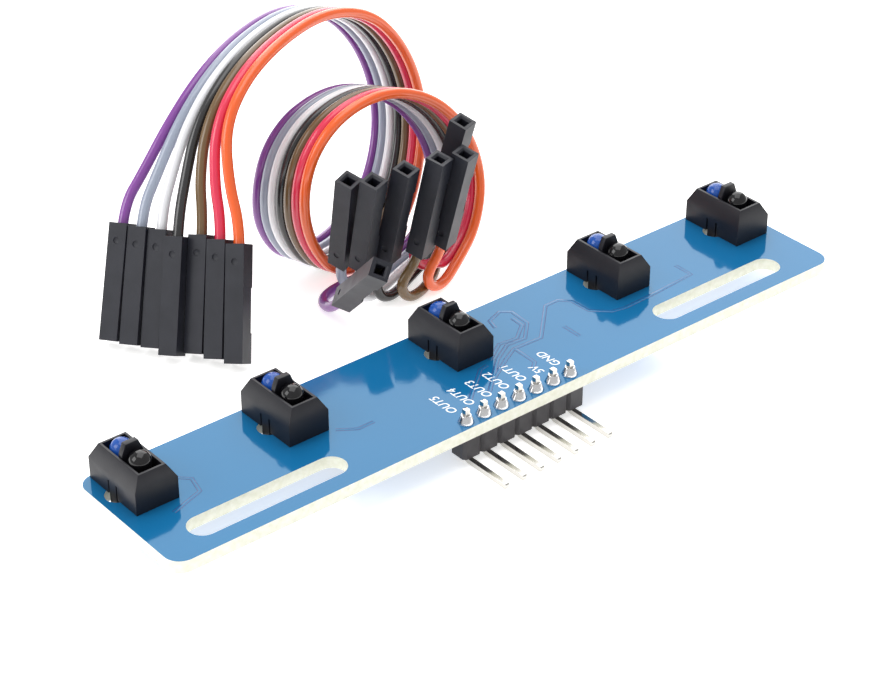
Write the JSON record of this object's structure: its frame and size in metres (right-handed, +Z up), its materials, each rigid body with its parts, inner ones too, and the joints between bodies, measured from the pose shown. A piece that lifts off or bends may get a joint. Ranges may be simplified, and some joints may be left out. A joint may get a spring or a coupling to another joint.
{
  "type": "line sensor board with jumper harness",
  "caption": "Line sensor board: reflective sensors along one edge, slotted fixing holes, angled pin header and trimmers, with a loose rainbow ribbon of socket-ended jumper wires.",
  "frame": {"origin": "on the table, under the middle of the circuit board with its header pins: half the board's length, and half the depth from pin tips to the board's far edge", "axes": "+X along the board's long side, +Y from the pin header towards the sensors, +Z up out of the board's sensor face"},
  "size_m": [0.096, 0.0645, 0.032],
  "materials": {
    "solder_mask": "glossy blue solder mask over glass epoxy",
    "sensor_black": "moulded black plastic, satin",
    "emitter_blue": "clear blue-tinted resin lens",
    "detector_black": "polished black resin lens",
    "lead_tin": "tinned steel",
    "solder": "bright solder",
    "header_black": "moulded black plastic",
    "pin_metal": "bright plated pins",
    "chip_black": "matt moulding compound",
    "trimmer_body": "off-white ceramic base",
    "trimmer_metal": "plated rotor",
    "led_resin": "clear resin on a white base",
    "resistor_black": "glazed black film with tinned ends",
    "capacitor_tan": "tan ceramic with tinned ends",
    "socket_black": "black nylon with a fine texture",
    "terminal_metal": "tinned phosphor bronze",
    "wire_purple": "purple vinyl insulation, glossy",
    "wire_grey": "grey vinyl insulation, glossy",
    "wire_white": "white vinyl insulation, glossy",
    "wire_black": "black vinyl insulation, glossy",
    "wire_brown": "brown vinyl insulation, glossy",
    "wire_red": "red vinyl insulation, glossy",
    "wire_orange": "orange vinyl insulation, glossy"
  },
  "bodies": {
    "board": {"circuit_board": "solder_mask", "sensor_housing_1": "sensor_black", "sensor_housing_2": "sensor_black", "sensor_housing_3": "sensor_black", "sensor_housing_4": "sensor_black", "sensor_housing_5": "sensor_black", "emitter_1": "emitter_blue", "emitter_2": "emitter_blue", "emitter_3": "emitter_blue", "emitter_4": "emitter_blue", "emitter_5": "emitter_blue", "detector_1": "detector_black", "detector_2": "detector_black", "detector_3": "detector_black", "detector_4": "detector_black", "detector_5": "detector_black", "sensor_leads": "lead_tin", "sensor_solder_joints": "solder", "header_insulator": "header_black", "header_pins": "pin_metal", "header_solder_joints": "solder", "comparator_1": "chip_black", "comparator_2": "chip_black", "comparator_leads": "lead_tin", "trimmer_base_1": "trimmer_body", "trimmer_base_2": "trimmer_body", "trimmer_base_3": "trimmer_body", "trimmer_base_4": "trimmer_body", "trimmer_base_5": "trimmer_body", "channel_leds": "led_resin", "resistors": "resistor_black", "capacitors": "capacitor_tan"},
    "rotor_1": {"trimmer_rotor_1": "trimmer_metal"},
    "rotor_2": {"trimmer_rotor_2": "trimmer_metal"},
    "rotor_3": {"trimmer_rotor_3": "trimmer_metal"},
    "rotor_4": {"trimmer_rotor_4": "trimmer_metal"},
    "rotor_5": {"trimmer_rotor_5": "trimmer_metal"},
    "harness": {"wire_purple": "wire_purple", "wire_grey": "wire_grey", "wire_white": "wire_white", "wire_black": "wire_black", "wire_brown": "wire_brown", "wire_red": "wire_red", "wire_orange": "wire_orange", "left_socket_purple": "socket_black", "right_socket_purple": "socket_black", "left_socket_grey": "socket_black", "right_socket_grey": "socket_black", "left_socket_white": "socket_black", "right_socket_white": "socket_black", "left_socket_black": "socket_black", "right_socket_black": "socket_black", "left_socket_brown": "socket_black", "right_socket_brown": "socket_black", "left_socket_red": "socket_black", "right_socket_red": "socket_black", "left_socket_orange": "socket_black", "right_socket_orange": "socket_black", "crimp_terminals": "terminal_metal"}
  },
  "joints": [
    {"name": "trimmer_turn_1", "type": "hinge", "parent": "board", "child": "rotor_1", "pos_m": [-0.03721, 0.0075, 0.0021], "axis": [0, 0, 1], "range_deg": [-120, 120]},
    {"name": "trimmer_turn_2", "type": "hinge", "parent": "board", "child": "rotor_2", "pos_m": [-0.0177, 0.0075, 0.0021], "axis": [0, 0, 1], "range_deg": [-120, 120]},
    {"name": "trimmer_turn_3", "type": "hinge", "parent": "board", "child": "rotor_3", "pos_m": [0.00575, 0.0075, 0.0021], "axis": [0, 0, 1], "range_deg": [-120, 120]},
    {"name": "trimmer_turn_4", "type": "hinge", "parent": "board", "child": "rotor_4", "pos_m": [0.0173, 0.0075, 0.0021], "axis": [0, 0, 1], "range_deg": [-120, 120]},
    {"name": "trimmer_turn_5", "type": "hinge", "parent": "board", "child": "rotor_5", "pos_m": [0.03739, 0.0075, 0.0021], "axis": [0, 0, 1], "range_deg": [-120, 120]},
    {"name": "harness_lift", "type": "slide", "parent": "board", "child": "harness", "axis": [0, 0, 1], "range_m": [0, 0.05]}
  ]
}
